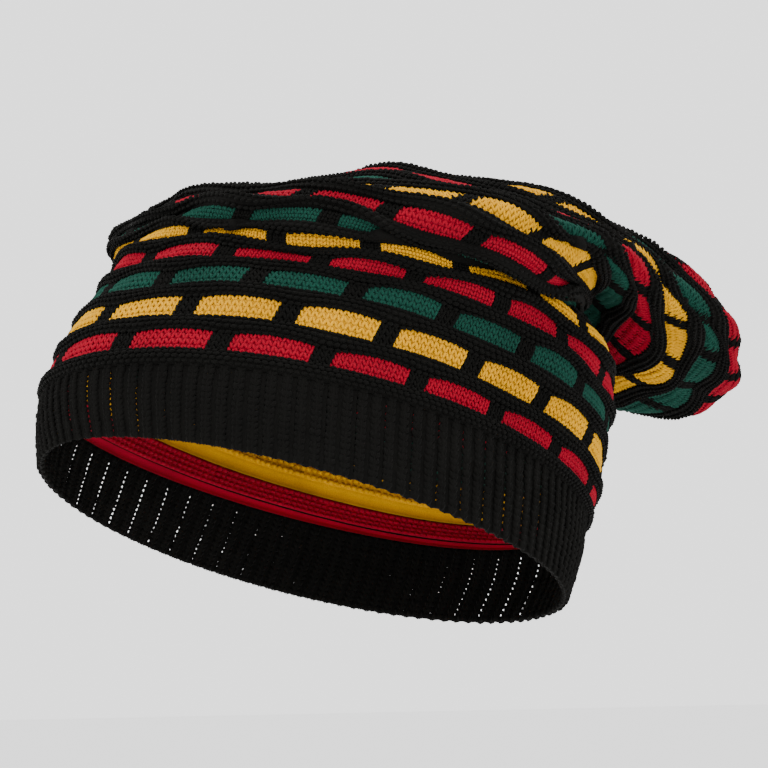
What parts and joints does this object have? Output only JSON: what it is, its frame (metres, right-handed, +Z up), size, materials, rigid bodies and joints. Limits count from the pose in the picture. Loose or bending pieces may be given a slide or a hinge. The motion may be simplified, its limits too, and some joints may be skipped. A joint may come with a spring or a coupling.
{
  "type": "rasta tam",
  "caption": "Long slouched knit tam with a ribbed black band, tiers of red, yellow and green blocks between black welts, and a gathered tail that folds back.",
  "frame": {"origin": "middle of the head opening, in the plane of the band's lower edge", "axes": "+Z up as worn, with the opening pitched back and its front high; front at -Y, tail towards +Y"},
  "size_m": [0.1796, 0.2807, 0.1556],
  "materials": {
    "black_rib_knit": "soft acrylic knit, one by one rib",
    "black_purl_knit": "soft acrylic knit, purl welts and plain bars",
    "red_knit": "soft acrylic stockinette",
    "yellow_knit": "soft acrylic stockinette",
    "green_knit": "soft acrylic stockinette"
  },
  "bodies": {
    "root": {"ribbed_band": "black_rib_knit", "welt_1": "black_purl_knit", "red_round_1": "red_knit", "welt_2": "black_purl_knit", "yellow_round_2": "yellow_knit", "welt_3": "black_purl_knit", "green_round_3": "green_knit", "welt_4": "black_purl_knit", "red_round_4": "red_knit", "welt_5": "black_purl_knit", "yellow_round_5": "yellow_knit", "welt_6": "black_purl_knit", "green_round_6": "green_knit", "welt_7": "black_purl_knit", "red_round_7": "red_knit", "welt_8": "black_purl_knit", "yellow_round_8": "yellow_knit", "welt_9": "black_purl_knit", "green_round_9": "green_knit", "welt_10": "black_purl_knit", "red_round_10": "red_knit", "welt_11": "black_purl_knit", "yellow_round_11": "yellow_knit", "welt_12": "black_purl_knit", "green_round_12": "green_knit", "welt_13": "black_purl_knit", "red_round_13": "red_knit", "crown_gather": "black_purl_knit"}
  },
  "joints": []
}
